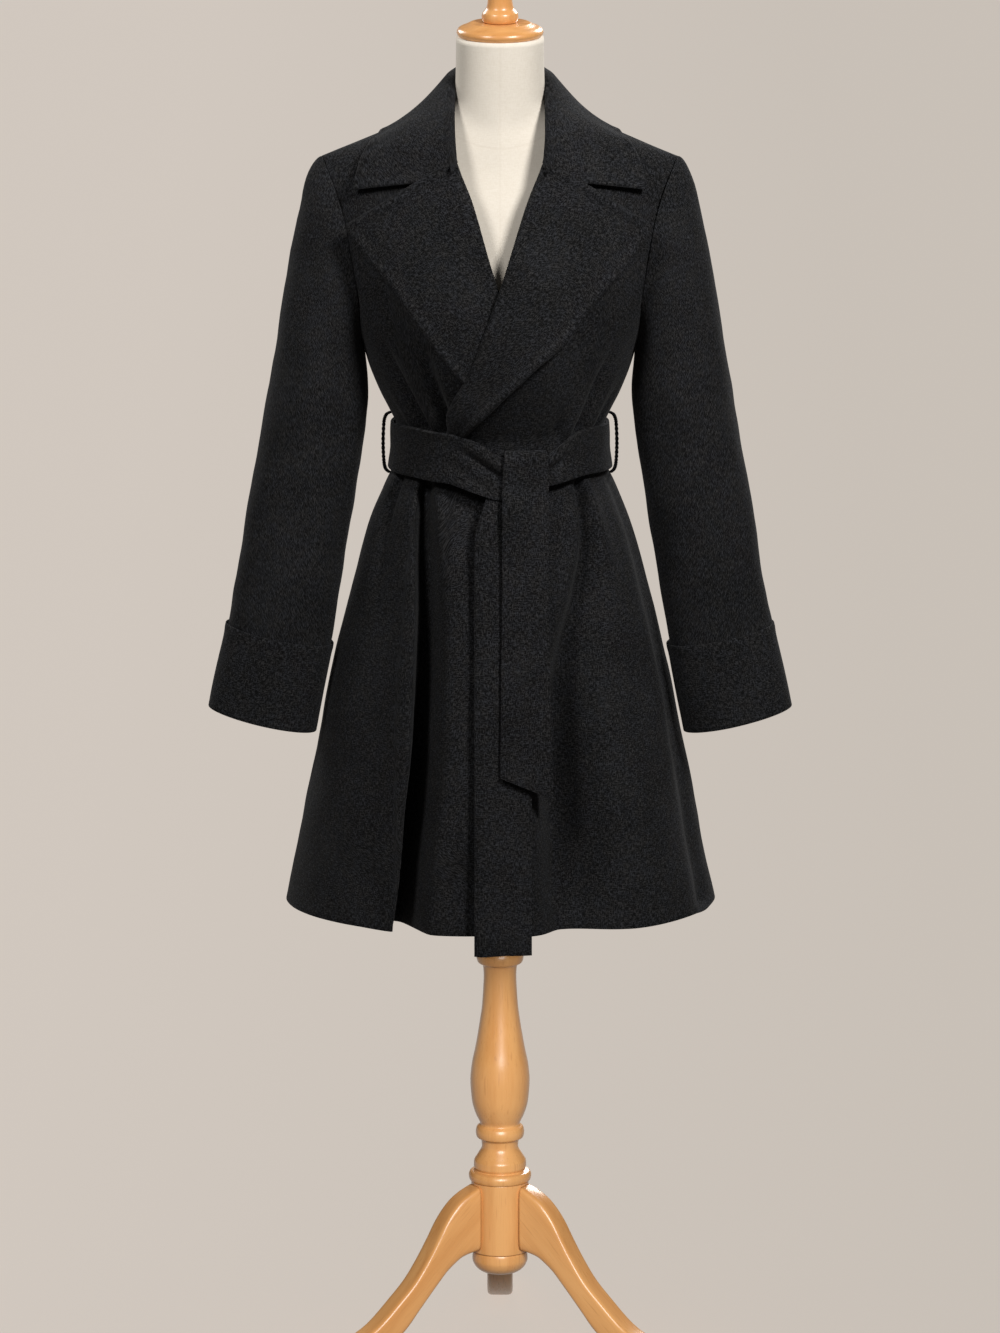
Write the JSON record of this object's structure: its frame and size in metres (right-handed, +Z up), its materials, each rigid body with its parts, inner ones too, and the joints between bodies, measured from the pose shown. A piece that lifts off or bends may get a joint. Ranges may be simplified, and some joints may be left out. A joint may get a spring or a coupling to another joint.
{
  "type": "belted wrap coat on a dress form and stand",
  "caption": "Belted wool wrap coat with notched collar, wide lapels, turned-back cuffs and flared skirt, worn by a limbless dress form on a turned wooden stand.",
  "frame": {"origin": "middle of the part's plan box, on the floor", "axes": "+Z up along the stand; the coat's front faces -Y and the wearer's left is +X"},
  "size_m": [0.6246, 0.443, 1.52],
  "materials": {
    "wool": "matte napped wool",
    "belt_wool": "matte napped wool",
    "linen": "plain linen stretched over the form",
    "beech": "satin lacquer"
  },
  "bodies": {
    "root": {"back": "wool", "front_left": "wool", "front_right": "wool", "lapel_left": "wool", "lapel_right": "wool", "collar": "wool", "sleeve_left": "wool", "sleeve_right": "wool", "cuff_left": "wool", "cuff_right": "wool", "belt": "belt_wool", "belt_end_short": "belt_wool", "belt_end_long": "belt_wool", "belt_loop_left": "belt_wool", "belt_loop_right": "belt_wool", "form": "linen", "finial": "beech", "neck_cap": "beech", "column": "beech", "hub": "beech", "drop": "beech", "leg_back": "beech", "leg_right": "beech", "leg_left": "beech"}
  },
  "joints": []
}
